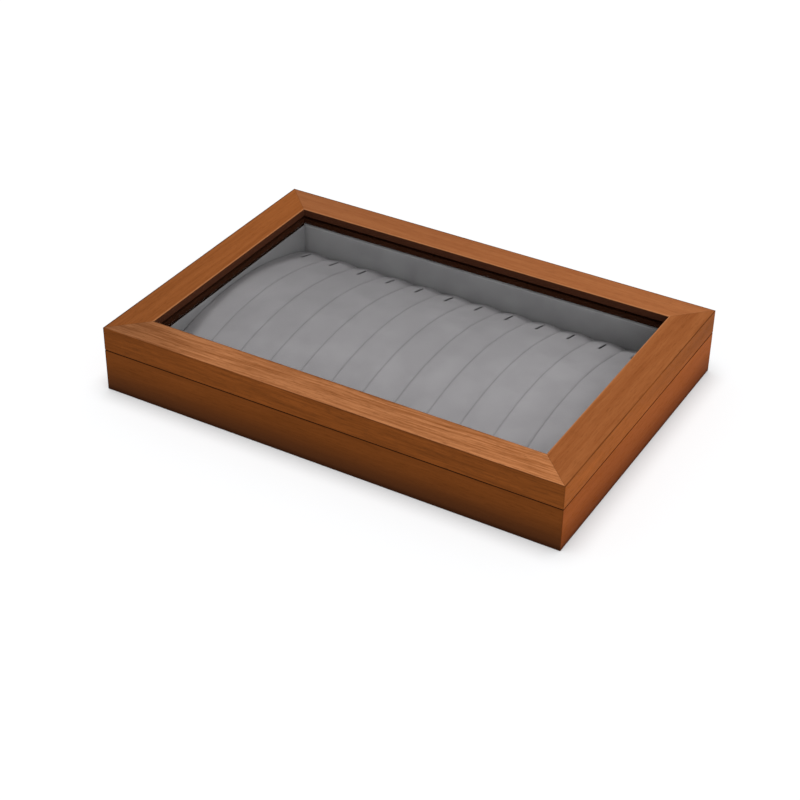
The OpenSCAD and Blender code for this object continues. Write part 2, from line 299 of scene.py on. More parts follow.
def tint(tree, colour, tone, distance, near, far, amount):
    """Blends a tone into a colour by a distance: the amount of it up to near, and none beyond far."""
    part = add(tree, "MapRange", {"Value": distance, "From Min": near, "From Max": far,
                                  "To Min": amount, "To Max": 0.0}, interpolation_type="SMOOTHSTEP")
    return add(tree, "Mix", {0: part, 6: colour, 7: tone}, data_type="RGBA").outputs[2]


def along_rail(tree, turned, steps):
    """A value that changes along a rail. steps holds it at even places from the left or front end."""
    spot = add(tree, "SeparateXYZ", {0: add(tree, "TexCoord").outputs["Object"]})
    half = BOX_HALF_Y if turned else BOX_HALF_X
    place = add(tree, "MapRange", {"Value": spot.outputs[1 if turned else 0], "From Min": -half,
                                   "From Max": half})
    ramp = add(tree, "ValToRGB", {0: place})
    stops = ramp.color_ramp.elements
    for step in range(1, len(steps) - 1):
        stops.new(step / (len(steps) - 1))
    for stop, value in zip(stops, steps):
        stop.color = (value, value, value, 1)
    return ramp.outputs[0]


print("rail width in mm:", round(RAIL_W / MM, 1), "seam at:", round(SEAM_Z / MM, 1))

# %% [markdown]
# The colour of the wood is built in the order of the work: the pattern of the planed board, the stain
# that follows it, and then the pores, which hold the most of it.

# %% Grain and stain
GRAIN_SPREAD = 0.24
PORE_FROM = 0.53
PORE_TO = 0.67
PORE_SHARE = 0.27
PORE_DEPTH = 0.45
SIDE_DEPTH = 0.62


def darker(hex_colour, share):
    """The linear RGBA of a colour that has kept only that share of its light."""
    return tuple(part * share for part in linear(hex_colour)[:3]) + (1.0,)


def planed_board(tree, place, contrast):
    """How pale the board is, its grain lines and its pores, each from 0 to 1."""
    grain = board_noise(tree, place, GRAIN_LENGTH, GRAIN_WIDTH, 3, 0.6)
    figure = board_noise(tree, place, FIGURE_LENGTH, FIGURE_WIDTH, 2, 0.5)
    pores = board_noise(tree, place, PORE_LENGTH, PORE_WIDTH, 2, 0.6)
    grain = add(tree, "MapRange", {"Value": grain, "From Min": 0.5 - GRAIN_SPREAD / contrast,
                                   "From Max": 0.5 + GRAIN_SPREAD / contrast})
    figure = add(tree, "MapRange", {"Value": figure, "From Min": 0.3, "From Max": 0.7})
    pores = add(tree, "MapRange", {"Value": pores, "From Min": PORE_FROM, "From Max": PORE_TO})
    tone = add(tree, "Mix", {0: 0.6 - 0.25 * contrast, 2: grain, 3: figure})
    return tone, grain, pores


def stained(tree, tone, turned, light, dark, tone_and_light):
    """Stain between dark and light by the tone of the board, as pale as tone_and_light says along the
    rail, which is partly the board's tone and partly painted light.
    """
    colour = add(tree, "Mix", {0: tone, 6: dark, 7: light}, data_type="RGBA").outputs[2]
    shade = along_rail(tree, turned, tone_and_light)
    return add(tree, "VectorMath", {0: colour, "Scale": shade}, operation="SCALE").outputs[0]


print("pores in mm:", round(PORE_LENGTH / MM), "x", round(PORE_WIDTH / MM, 1))

# %% [markdown]
# On the outer edges and in the seam the stain pools and dries nearly black. The seam is drawn only in
# its groove, so the faces that meet there stay brown when the lid is open. Round the glass the edge of the
# lip has a painted highlight on three rails and stays dark on the front one.

# %% Dark lines
ARRIS = 0.6 * MM
SEAM_GROOVE = 0.8 * MM
# Dark stain in the seam, the corners and on the edges, and painted shade at the foot.
POOLED_STAIN_AND_SHADE = linear("#2a1207")
SIGHT_EDGE = linear("#4c2c1e")
RIM_HIGHLIGHT = "#c98a5c"
DARK_RIM = "#2a1207"


def seam_lines(tree, colour, from_end, from_side, from_top, from_out):
    """Draws the groove of the seam and the upright corners, which are darker at the left."""
    off_seam = add(tree, "Math", {0: from_top, 1: LID_TOP - SEAM_Z}, operation="SUBTRACT")
    off_seam = add(tree, "Math", {0: off_seam}, operation="ABSOLUTE")
    in_groove = add(tree, "MapRange", {"Value": from_out, "From Min": SEAM_GROOVE,
                                       "From Max": 2 * SEAM_GROOVE, "To Min": 0.9, "To Max": 0.0})
    colour = tint(tree, colour, POOLED_STAIN_AND_SHADE, off_seam, 0.2 * SEAM_GROOVE, 0.9 * SEAM_GROOVE, in_groove)
    off_corner = add(tree, "Math", {0: from_end, 1: from_side}, operation="ADD")
    corner_pool = along_rail(tree, False, (0.8, 0.2))
    return tint(tree, colour, POOLED_STAIN_AND_SHADE, off_corner, 0.6 * ARRIS, 1.8 * ARRIS, corner_pool)


def top_lines(tree, colour, arris, turned, wander, from_top, from_out):
    """Draws the outer edge of the top and the lip round the glass, with the lip's painted highlight."""
    pool, pool_width, rim = arris
    uneven = add(tree, "MapRange", {"Value": wander, "From Min": 0.35, "From Max": 0.6, "To Min": 0.7})
    pooled = add(tree, "Math", {0: along_rail(tree, turned, pool), 1: uneven}, operation="MULTIPLY")
    off_arris = add(tree, "Math", {0: from_top, 1: from_out}, operation="ADD")
    colour = tint(tree, colour, POOLED_STAIN_AND_SHADE, off_arris, 0.5 * ARRIS, pool_width, pooled)
    to_glass = add(tree, "Math", {0: RAIL_W, 1: from_out}, operation="SUBTRACT")
    off_sight = add(tree, "Math", {0: from_top, 1: to_glass}, operation="ADD")
    # The lip round the glass: a painted highlight on the back, left and right rails, dark on the front
    # one.
    colour = tint(tree, colour, linear(rim), off_sight, 1.4 * ARRIS, 2.4 * ARRIS, 0.4)
    return tint(tree, colour, SIGHT_EDGE, to_glass, 0.02 * MM, 0.5 * ARRIS, 1.0)


def foot_shade(tree, colour, foot, from_top):
    """Paints shade on the outer face towards the table, darkest in its last few millimetres: a painted
    shadow.
    """
    to_table = add(tree, "Math", {0: LID_TOP, 1: from_top}, operation="SUBTRACT")
    colour = tint(tree, colour, linear(foot), to_table, 0.0, 0.8 * SEAM_Z, 1.0)
    # A painted contact shadow in the last few millimetres above the table.
    return tint(tree, colour, POOLED_STAIN_AND_SHADE, to_table, 0.5 * MM, 5 * MM, 0.6)


print("seam groove in mm:", round(SEAM_GROOVE / MM, 1), "edge radius:", round(ARRIS / MM, 1))

# %% [markdown]
# The lacquer over the stain is matt: it scatters what it reflects, and the pores, which it doesn't
# fill, are rougher still. A faint bump makes the grain and the pores catch the light.

# %% Stained ash
MITRE_LINE = 0.45 * MM


def stained_ash(name, board, turned, light, dark, contrast=1.0, tone_and_light=(1, 1), arris=None, side=None,
                side_tone_and_light=(1, 1), foot=None):
    """Ash under stain and matt lacquer. tone_and_light and side_tone_and_light say how pale the board and
    its outer face are at even steps along it, partly the board's own tone and partly painted light. arris
    says how much stain pooled on the outer edge along it, how wide the pool is, and what colour the lip
    round the glass has, a painted highlight on three rails. side is the colour of the outer face, which
    took the stain deeper and is kept darker on the front than on the right as painted shade, and foot is
    the painted shade it darkens to towards the table."""
    material, tree, output = new_material(name)
    place, wander = board_place(tree, board, turned)
    tone, grain, pores = planed_board(tree, place, contrast)
    colour = stained(tree, tone, turned, linear(light), linear(dark), tone_and_light)
    from_end, from_side, from_top, from_out = edge_distances(tree)
    if side:
        side_colour = stained(tree, tone, turned, linear(side), darker(side, SIDE_DEPTH), side_tone_and_light)
        colour = tint(tree, colour, side_colour, from_out, 0.1 * MM, ARRIS, 1.0)
    pore_colour = darker(dark, PORE_DEPTH)
    pore_part = add(tree, "Math", {0: pores, 1: PORE_SHARE * contrast}, operation="MULTIPLY")
    colour = add(tree, "Mix", {0: pore_part, 6: colour, 7: pore_colour}, data_type="RGBA").outputs[2]

    off_mitre = add(tree, "Math", {0: from_end, 1: from_side}, operation="SUBTRACT")
    off_mitre = add(tree, "Math", {0: off_mitre}, operation="ABSOLUTE")
    colour = tint(tree, colour, pore_colour, off_mitre, 0.0, MITRE_LINE, 0.6)
    if side or foot:
        colour = seam_lines(tree, colour, from_end, from_side, from_top, from_out)
    if arris:
        colour = top_lines(tree, colour, arris, turned, wander, from_top, from_out)
    if foot:
        colour = foot_shade(tree, colour, foot, from_top)

    height = add(tree, "Math", {0: grain, 1: pores}, operation="SUBTRACT")
    bump = add(tree, "Bump", {"Height": height, "Strength": 0.25, "Distance": 0.08 * MM})
    gloss = add(tree, "MapRange", {"Value": pores, "To Min": 0.46, "To Max": 0.62})
    lacquer = add(tree, "BsdfPrincipled", {"Base Color": colour, "Roughness": gloss,
                                           "Specular IOR Level": 0.01, "Normal": bump})
    tree.links.new(lacquer.outputs[0], output.inputs["Surface"])
    return material


print("mitre line in mm:", round(MITRE_LINE / MM, 2))

# %% [markdown]
# No two rails took the stain alike. The top of the front rail is the palest and has the strongest grain,
# and the sides are a deeper and redder brown, the front one darkest as painted shade. The beads that hold
# the glass are painted nearly black, a painted shade, as they sit in the shadow of the lip.

# %% Dress the rails and beads
# The outer faces are partly their stain and partly painted shade: the front one is kept darker than the
# right.
STAINS = {
    "front": dict(top=("#c68354", "#91552b"), contrast=1.6, tone_and_light=(0.52, 0.89, 0.89, 0.94, 1.16),
                  arris=((0.1, 0.5, 0.8), 0.9 * MM, DARK_RIM),
                  side="#9e5826", side_tone_and_light=(0.86, 0.97, 0.96, 0.96),
                  base=("#8b4d21", "#6f3b15"), foot="#55301a"),
    "back": dict(top=("#b06f42", "#96562f"), contrast=0.9, tone_and_light=(0.82, 1.04),
                 arris=((0.9, 0.9), 1.8 * MM, RIM_HIGHLIGHT),
                 side="#9e5826", side_tone_and_light=(1, 1),
                 base=("#8b4d21", "#6f3b15"), foot="#55301a"),
    "left": dict(top=("#9e5d2e", "#83471c"), contrast=0.9, tone_and_light=(0.84, 1.1),
                 arris=((0.9, 0.9), 1.8 * MM, RIM_HIGHLIGHT),
                 side="#b96832", side_tone_and_light=(1.07, 0.93),
                 base=("#a85b28", "#8f491b"), foot="#6d3a1b"),
    "right": dict(top=("#aa683a", "#8e4e25"), contrast=0.9, tone_and_light=(0.96, 0.95),
                  arris=((0.7, 0.5), 0.9 * MM, RIM_HIGHLIGHT),
                  side="#bd6a2e", side_tone_and_light=(0.92, 0.96, 0.97, 0.83, 0.66),
                  base=("#ae5e29", "#954c1c"), foot="#78390f"),
}
BASE_CONTRAST = 0.8
BEAD_PAINTED_SHADE = ("#402417", "#2e180e")


def dress(node, material):
    """Gives a CAD node its finish."""
    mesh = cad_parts[node].data
    mesh.materials.clear()
    mesh.materials.append(material)


# The tone_and_light steps along each rail are partly the board's own tone and partly painted light.
for board, (side, stain) in enumerate(STAINS.items(), 1):
    turned = side in ("left", "right")
    dress("lid_rail_" + side, stained_ash("stained_ash_lid_" + side, board, turned, *stain["top"],
                                          stain["contrast"], stain["tone_and_light"], stain["arris"],
                                          stain["side"], stain["side_tone_and_light"]))
    dress("base_rail_" + side, stained_ash("stained_ash_base_" + side, board + 4, turned,
                                           *stain["base"], BASE_CONTRAST, foot=stain["foot"]))
    # The beads carry the rails' stain, painted nearly black as painted shade.
    dress("glass_bead_" + side, stained_ash("shade_painted_bead_" + side, board + 8, turned, *BEAD_PAINTED_SHADE))
print("rails and beads:", 3 * len(STAINS))

# %% [markdown]
# Inside the joints lie pieces that nobody sees until the box comes apart: loose keys of birch plywood
# across the mitres and a bottom panel of the same ply. Bare plywood is pale and a little stripy, with
# no gloss.

# %% Birch plywood
def birch_ply(name):
    """Bare birch plywood: pale and dry, with soft brown streaks 1.4 mm apart, the thickness of a ply."""
    material, tree, output = new_material(name)
    place = add(tree, "TexCoord").outputs["Object"]
    streaks = board_noise(tree, place, 60 * MM, 1.4 * MM, 3, 0.55)
    colour = add(tree, "Mix", {0: streaks, 6: linear("#a98759"), 7: linear("#d6bb8e")}, data_type="RGBA")
    bump = add(tree, "Bump", {"Height": streaks, "Strength": 0.3, "Distance": 0.1 * MM})
    bare = add(tree, "BsdfPrincipled", {"Base Color": colour.outputs[2], "Roughness": 0.8, "Normal": bump})
    tree.links.new(bare.outputs[0], output.inputs["Surface"])
    return material


ply = birch_ply("birch_plywood")
PLY_NODES = ("base_panel", "base_corner_keys", "lid_corner_keys")
for node in PLY_NODES:
    dress(node, ply)
print("plywood nodes:", len(PLY_NODES))

# %% [markdown]
# The hinges are small brass butts. Their leaves are stamped from rolled sheet and then brushed along
# the pin, which leaves fine scratches in one direction and spreads every highlight across them. The
# brads are steel wire and were stained over with the beads, so their heads are dull and nearly black.

# %% Brass and steel
def brushed_metal(name, pale, deep, roughness, scratch_width):
    """Brushed metal: scratches along x, drawn wider than the real 0.05 mm so that they show."""
    material, tree, output = new_material(name)
    place = add(tree, "TexCoord").outputs["Object"]
    scratches = board_noise(tree, place, 12 * MM, scratch_width, 3, 0.7)
    tarnish = add(tree, "TexNoise", {"Vector": place, "Scale": 1 / (6 * MM), "Detail": 3.0})
    colour = add(tree, "Mix", {0: tarnish.outputs[0], 6: linear(deep), 7: linear(pale)}, data_type="RGBA")
    gloss = add(tree, "MapRange", {"Value": scratches, "To Min": roughness - 0.1,
                                   "To Max": roughness + 0.15})
    bump = add(tree, "Bump", {"Height": scratches, "Strength": 0.15, "Distance": 0.03 * MM})
    metal = add(tree, "BsdfPrincipled", {"Base Color": colour.outputs[2], "Metallic": 1.0,
                                         "Roughness": gloss, "Normal": bump})
    tree.links.new(metal.outputs[0], output.inputs["Surface"])
    return material


brass = brushed_metal("brushed_brass", "#d3b069", "#a87f3f", 0.34, 0.25 * MM)
wire = brushed_metal("stained_steel_wire", "#4a3a30", "#2c211b", 0.45, 0.2 * MM)
brass_nodes = ["base_hinge_screws", "lid_hinge_screws"]
for side in ("left", "right"):
    brass_nodes += [f"hinge_{side}_{piece}" for piece in ("base_leaf", "lid_leaf", "pin")]
for node in brass_nodes:
    dress(node, brass)
dress("bead_brads", wire)
print("brass nodes:", len(brass_nodes))

# %% [markdown]
# Velvet is cloth with a short upright pile. Light that grazes the pile catches its tips, which is what
# the sheen of the shader gives, and from above the eye looks down between the hairs, where it is dark.
# The pile never lies quite even, so the grey has soft pale and dark patches a few centimetres wide.

# %% Grey velvet
PILE = 0.8 * MM
NAP = 22 * MM
BRUSH_REACH = 100 * MM


def velvet(name, pale, deep, painted_light=None, details=None):
    """Short-pile velvet. painted_light is a direction and how pale the cloth is 100 mm behind and 100 mm
    ahead along it: a painted gradient of light and shade.
    details is a function that takes the tree and the colour and gives a new colour."""
    material, tree, output = new_material(name)
    place = add(tree, "TexCoord").outputs["Object"]
    nap = add(tree, "TexNoise", {"Vector": place, "Scale": 1 / NAP, "Detail": 3.0, "Roughness": 0.55})
    pile = add(tree, "TexNoise", {"Vector": place, "Scale": 1 / PILE, "Detail": 2.0, "Roughness": 0.7})
    nap = add(tree, "MapRange", {"Value": nap.outputs[0], "From Min": 0.3, "From Max": 0.7})
    tone = add(tree, "Mix", {0: 0.3, 2: nap, 3: pile.outputs[0]})
    colour = add(tree, "Mix", {0: tone, 6: linear(deep), 7: linear(pale)}, data_type="RGBA").outputs[2]
    # Painted light and shade: the colour is scaled along a direction.
    if painted_light:
        direction, against, along = painted_light
        lean = add(tree, "VectorMath", {0: place, 1: direction}, operation="DOT_PRODUCT").outputs["Value"]
        shade = add(tree, "MapRange", {"Value": lean, "From Min": -BRUSH_REACH, "From Max": BRUSH_REACH,
                                       "To Min": against, "To Max": along})
        colour = add(tree, "VectorMath", {0: colour, "Scale": shade}, operation="SCALE").outputs[0]
    if details:
        colour = details(tree, colour)
    bump = add(tree, "Bump", {"Height": pile.outputs[0], "Strength": 0.14, "Distance": 0.2 * MM})
    cloth = add(tree, "BsdfPrincipled", {"Base Color": colour, "Roughness": 0.95,
                                         "Specular IOR Level": 0.1, "Sheen Weight": 0.06,
                                         "Sheen Roughness": 0.5, "Normal": bump})
    tree.links.new(cloth.outputs[0], output.inputs["Surface"])
    return material


LINING = ("#9f9fa0", "#8b8a8c")
dress("tray_floor", velvet("grey_velvet_tray_floor", *LINING))
print("velvet pile in mm:", round(PILE / MM, 2))

# %% [markdown]
# The pad is the soft heart of the box: velvet over foam, arched from front to back. Twelve lanes run
# over it, parted by fine creases, and each lane has a slit near its back end that holds a chain. The
# arch is an arc through the crest and, lower, through the back edge, as in the CAD solid. Each lane is
# crowned a little, and the crown grows towards the back edge, where the cloth is only held at the
# creases, so that edge is scalloped. A formula gives the height of any place on the pad, and a fine
# grid takes its shape from it.

# %% Sizes of the pad
LANES = 12
pad_low, pad_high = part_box("pad_cover")
PAD_HALF_X = pad_high.x + 0.5 * MM
PAD_HALF_Y = pad_high.y
LANE_W = 2 * PAD_HALF_X / LANES
CREST_SHIFT = 5 * MM
PAD_DROP = 20 * MM
ARCH_R = ((PAD_HALF_Y + CREST_SHIFT) ** 2 + PAD_DROP ** 2) / (2 * PAD_DROP)
LANE_CROWN = 0.4 * MM
BACK_CROWN = 2.0 * MM
BACK_CROWN_FROM = 52 * MM
BACK_CROWN_TO = 90 * MM
BACK_RISE = 1.8 * MM
BACK_RISE_FROM = 56 * MM
BACK_RISE_TO = 88 * MM
CREASE_HALF = 1.1 * MM
CREASE_DEPTH = 0.4 * MM
CREASE_LEFT = 0.2
CREASE_FADES_FROM = 66 * MM
CREASE_FADES_TO = 84 * MM
SLIT_LENGTH = 14 * MM
SLIT_HALF = 0.8 * MM
SLIT_DEPTH = 4 * MM
SLIT_Y = PAD_HALF_Y - 10 * MM - SLIT_LENGTH / 2
LIP_OFF = 1.3 * MM
LIP_WIDTH = 0.9 * MM
LIP_HEIGHT = 0.42 * MM
UNEVEN_HEIGHT = 0.16 * MM
UNEVEN_LENGTH = 19 * MM
SIDE_ROLL = 0.5 * MM
END_ROLL = 4.5 * MM
print("arch radius in mm:", round(ARCH_R / MM, 1), "lane width:", round(LANE_W / MM, 2))

# %% [markdown]
# Each part of the height has its own small function: the arch, where a point lies in its lane, the tuck
# of a slit, and the roll of the cloth down its rim. The lips of a slit stand up a little, because the
# cloth that is pushed into it pulls tight over the foam beside it.

# %% Height of the pad
def ease(low, high, value):
    """0 below low, 1 above high and a smooth step between them."""
    part = min(max((value - low) / (high - low), 0), 1)
    return part * part * (3 - 2 * part)


def arch_height(y):
    """Height of the arch at y."""
    return pad_high.z - ARCH_R + math.sqrt(ARCH_R ** 2 - (y + CREST_SHIFT) ** 2)


def across_lane(x):
    """Where x lies in its lane, from -0.5 at one crease to 0.5 at the next."""
    return (x / LANE_W + LANES / 2) % 1.0 - 0.5


def slit_shape(x_off, y, half, depth):
    """How deep the cloth is tucked in, x_off from the middle of a slit."""
    along = (y - SLIT_Y) / (SLIT_LENGTH / 2)
    if abs(along) >= 1 or abs(x_off) >= half:
        return 0.0
    return depth * (1 - abs(x_off) / half) * math.sqrt(1 - along ** 2)


def fine_height(x, y):
    """What the creases, the slits, their lips and the small unevenness add to the height."""
    across = across_lane(x)
    off_crease = (0.5 - abs(across)) * LANE_W
    fade = 1 - (1 - CREASE_LEFT) * ease(CREASE_FADES_FROM, CREASE_FADES_TO, y)
    height = -CREASE_DEPTH * fade * max(0.0, 1 - off_crease / CREASE_HALF)
    x_off = across * LANE_W
    height -= slit_shape(x_off, y, SLIT_HALF, SLIT_DEPTH)
    lip = math.exp(-((abs(x_off) - LIP_OFF) / LIP_WIDTH) ** 2)
    height += LIP_HEIGHT * lip * ease(SLIT_LENGTH * 0.65, SLIT_LENGTH * 0.4, abs(y - SLIT_Y))
    return height + UNEVEN_HEIGHT * noise.noise(Vector((x, y, 0)) / UNEVEN_LENGTH)


def pad_height(x, y):
    """Height of the crowned lanes over the tray."""
    crown = LANE_CROWN + (BACK_CROWN - LANE_CROWN) * ease(BACK_CROWN_FROM, BACK_CROWN_TO, y)
    rise = BACK_RISE * ease(BACK_RISE_FROM, BACK_RISE_TO, y)
    return arch_height(y) + rise - crown * (2 * across_lane(x)) ** 2


def edge_drop(x, y):
    """How far the surface rolls down at the rim of the pad."""
    drop = 0.0
    for roll, inside in ((SIDE_ROLL, PAD_HALF_X - abs(x)), (END_ROLL, PAD_HALF_Y - abs(y))):
        near = min(max(0.0, roll - inside), roll)
        drop += roll - math.sqrt(roll ** 2 - near ** 2)
    return drop


print("back edge at height:", round(arch_height(PAD_HALF_Y) / MM, 1))

# %% [markdown]
# The cover is a shell: a grid for its face, a second grid for its inside, and a strip that joins their
# rims at the tray floor. The columns of the grid crowd together at the creases and the slits, and its
# rows at the front and the back, because the shape is fine there. The outermost ring hangs down as the
# sides.

# %% Grid of the pad
COLUMNS = 24
ROWS = 116
CROWDING = 0.8
ROW_CROWDING = 0.4
TUCK_HALF = 2.4 * MM
TUCK_DEPTH = SLIT_DEPTH + 0.3 * MM


def crowded(part):
    """Moves the steps of a lane, from -1 to 1, closer to its middle and to its edges."""
    return part - CROWDING * math.sin(2 * math.pi * part) / (2 * math.pi)


def pad_sheet(bm, inset=0.0):
    """A grid over the pad, with an outer ring that comes down to the tray floor. One that is inset lies
    inside the face: it leaves out the fine shapes and is tucked wider and deeper under each slit."""
    made = bmesh.ops.create_grid(bm, x_segments=LANES * COLUMNS + 2, y_segments=ROWS + 2, size=0.5)
    narrower = (PAD_HALF_X - inset) / PAD_HALF_X
    shorter = (PAD_HALF_Y - inset) / PAD_HALF_Y
    for vert in made["verts"]:
        column = round((vert.co.x + 0.5) * (LANES * COLUMNS + 2)) - 1
        row = round((vert.co.y + 0.5) * (ROWS + 2)) - 1
        on_rim = column in (-1, LANES * COLUMNS + 1) or row in (-1, ROWS + 1)
        column = min(max(column, 0), LANES * COLUMNS)
        row = min(max(row, 0), ROWS)
        lane, step = divmod(column, COLUMNS)
        x = (lane - LANES / 2 + (crowded(2 * step / COLUMNS - 1) + 1) / 2) * LANE_W
        along = 2 * row / ROWS - 1
        y = PAD_HALF_Y * ((1 - ROW_CROWDING) * along + ROW_CROWDING * math.sin(math.pi / 2 * along))
        z = pad_height(x, y) - inset - edge_drop(x, y)
        if inset:
            z -= slit_shape(across_lane(x) * LANE_W, y, TUCK_HALF, TUCK_DEPTH)
        else:
            z += fine_height(x, y)
        vert.co = (x * narrower, y * shorter, pad_low.z if on_rim else z)


print("grid of the pad:", LANES * COLUMNS, "x", ROWS)

# %% Finish a piece
def finished(bm, name, material, body, sharp):
    """Makes the bmesh a piece that rides on a body. Edges sharper than that many degrees stay crisp."""
    mesh = bpy.data.meshes.new(name)
    bmesh.ops.recalc_face_normals(bm, faces=bm.faces[:])
    for face in bm.faces:
        face.smooth = True
    bm.to_mesh(mesh)
    bm.free()
    mesh.set_sharp_from_angle(angle=math.radians(sharp))
    mesh.materials.append(material)
    piece = bpy.data.objects.new(name, mesh)
    bpy.context.scene.collection.objects.link(piece)
    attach(piece, body)
    print(name, "faces:", len(mesh.polygons))
    return piece


# %% [markdown]
# The creases are too shallow to throw a shadow that the eye would see, so a painted shade darkens the pile
# in them. A slit is a painted dark line of shadow, darkest at its front end.

# %% Marks on the pad
PILE_SHADOW = linear("#2f2e2f")
SLIT_SHADOW = linear("#373637")
SLIT_DARK_HALF = 0.5 * MM
SLIT_TINT_HALF = 1.1 * MM
CREASE_PAINTED_SHADE = 0.2
TINT_FADES_FROM = 62 * MM
TINT_FADES_TO = 80 * MM


def pad_marks(tree, colour):
    """Paints shade into the creases, fading towards the back edge, and a painted shadow into the slits."""
    spot = add(tree, "SeparateXYZ", {0: add(tree, "TexCoord").outputs["Object"]})
    off_crease = add(tree, "Math", {0: spot.outputs[0], 1: LANE_W / 2}, operation="PINGPONG")
    fading = add(tree, "MapRange", {"Value": spot.outputs[1], "From Min": TINT_FADES_FROM,
                                    "From Max": TINT_FADES_TO, "To Min": CREASE_PAINTED_SHADE, "To Max": 0.0},
                 interpolation_type="SMOOTHSTEP")
    # Painted shade in the creases.
    colour = tint(tree, colour, PILE_SHADOW, off_crease, 0.1 * MM, CREASE_HALF, fading)
    off_slit = add(tree, "Math", {0: LANE_W / 2, 1: off_crease}, operation="SUBTRACT")
    from_middle = add(tree, "Math", {0: spot.outputs[1], 1: SLIT_Y}, operation="SUBTRACT")
    slit_shadow_amount = add(tree, "MapRange", {"Value": from_middle, "From Min": -SLIT_LENGTH / 2,
                                    "From Max": SLIT_LENGTH / 2, "To Min": 1.0, "To Max": 0.6})
    past_end = add(tree, "Math", {0: from_middle}, operation="ABSOLUTE")
    in_slit = add(tree, "Math", {0: past_end, 1: SLIT_LENGTH / 2 - 0.5 * MM}, operation="LESS_THAN")
    slit_shadow_amount = add(tree, "Math", {0: slit_shadow_amount, 1: in_slit}, operation="MULTIPLY")
    # Painted shadow inside the slits.
    return tint(tree, colour, SLIT_SHADOW, off_slit, SLIT_DARK_HALF, SLIT_TINT_HALF, slit_shadow_amount)


print("crease width in mm:", round(2 * CREASE_HALF / MM, 1))

# %% [markdown]
# The pad's velvet is painted paler towards the front right corner and darker towards its back left corner:
# painted light and shade, which deepens the shade that the frame throws there.

# %% Pad cover
COVER_T = 1.4 * MM
PAD_SHARP = 75
TO_FRONT_RIGHT = Vector((0.4, -0.92, 0))

# Painted light and shade: paler towards the front right, darker towards the back left.
pad_velvet = velvet("grey_velvet_pad", "#9c9a9c", "#8c8a8c", (TO_FRONT_RIGHT, 0.72, 1.2), pad_marks)
bm = bmesh.new()
pad_sheet(bm)
pad_sheet(bm, COVER_T)
rims = [edge for edge in bm.edges if edge.is_boundary]
bmesh.ops.bridge_loops(bm, edges=rims)
pad_cover = finished(bm, "velvet_pad_cover", pad_velvet, "base", PAD_SHARP)
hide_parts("pad_cover")

# %% [markdown]
# The foam is soft polyurethane: off-white, with open cells just under a millimetre apart that read as a
# fine dry speckle. The slits let a glimpse of the tucked cloth show and never the foam, but the piece
# is there when the cover comes off. Its shape is a third grid, just under the inside of the cover.

# %% Foam
def open_cell_foam(name):
    """Open-cell foam: no gloss, and small dark cells all over."""
    material, tree, output = new_material(name)
    place = add(tree, "TexCoord").outputs["Object"]
    cells = add(tree, "TexVoronoi", {"Vector": place, "Scale": 1 / (0.9 * MM)})
    shade = add(tree, "MapRange", {"Value": cells.outputs["Distance"], "From Max": 0.7})
    colour = add(tree, "Mix", {0: shade, 6: linear("#8f8d86"), 7: linear("#dedcd3")}, data_type="RGBA")
    bump = add(tree, "Bump", {"Height": shade, "Strength": 0.5, "Distance": 0.3 * MM})
    foam = add(tree, "BsdfPrincipled", {"Base Color": colour.outputs[2], "Roughness": 1.0,
                                        "Specular IOR Level": 0.1, "Normal": bump})
    tree.links.new(foam.outputs[0], output.inputs["Surface"])
    return material


FOAM_GAP = 0.1 * MM
bm = bmesh.new()
pad_sheet(bm, COVER_T + FOAM_GAP)
rim = [edge for edge in bm.edges if edge.is_boundary]
bmesh.ops.edgeloop_fill(bm, edges=rim)
foam_core = finished(bm, "foam_core", open_cell_foam("open_cell_foam"), "base", PAD_SHARP)
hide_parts("pad_foam")

# %% [markdown]
# The walls of the tray are thin boards in the same velvet. On the long walls it runs over the top edge. On
# the short ones the narrow top face is dark stained wood, as dark as the beads, put there as painted shade
# where the frame's shadow falls, and their velvet is painted darker towards the back as painted shade. The
# cloth swells a little on the faces, and it meets in a mitre at each corner. Each wall starts as the box
# of its CAD node, gets rounded top edges with a bevel, and is cut at both ends by a plane at 45 degrees.

# %% Shapes of a wall
WALL_ROLL = 0.7 * MM
WALL_SWELL = 0.15 * MM
SWELL_LENGTH = 24 * MM
MITRE_GAP = 0.06 * MM


def box_bmesh(node):
    """A bmesh box as large as a CAD node."""
    low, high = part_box(node)
    bm = bmesh.new()
    bmesh.ops.create_cube(bm, size=1.0)
    bmesh.ops.scale(bm, vec=high - low, verts=bm.verts)
    bmesh.ops.translate(bm, vec=(high + low) / 2, verts=bm.verts)
    return bm


def reach_along(edge, direction):
    """How far an edge reaches in a direction."""
    return abs((edge.verts[0].co - edge.verts[1].co).dot(direction))


def swell_inwards(bm, outward, low, high):
    """Lets the cloth stand a little off the inner face, most of all halfway up."""
    middle = (low + high) / 2
    thickness = (high - low).dot(Vector([abs(part) for part in outward]))
    for vert in bm.verts:
        inwards = (vert.co - middle).dot(-outward)
        if inwards > thickness / 2 - 0.01 * MM:
            up = (vert.co.z - low.z) / (high.z - low.z)
            swell = WALL_SWELL * max(0.0, 1 - (2 * up - 1) ** 4)
            ripple = 0.5 + 0.5 * noise.noise(vert.co / SWELL_LENGTH)
            vert.co -= outward * swell * ripple


def cut_mitres(bm, outward, along, low, high):
    """Cuts both ends of a wall at 45 degrees, a hair short of the corner, and closes them."""
    for turn in (1, -1):
        end = outward + turn * along
        corner = Vector((low.x if end.x < 0 else high.x, low.y if end.y < 0 else high.y, 0))
        normal = (turn * along - outward).normalized()
        cut = bmesh.ops.bisect_plane(bm, geom=bm.verts[:] + bm.edges[:] + bm.faces[:], dist=1e-6,
                                     plane_co=corner - normal * MITRE_GAP, plane_no=normal,
                                     clear_outer=True)
        loop = [part for part in cut["geom_cut"] if isinstance(part, bmesh.types.BMEdge)]
        bmesh.ops.edgeloop_fill(bm, edges=loop)


print("rounding of a wall in mm:", round(WALL_ROLL / MM, 1))

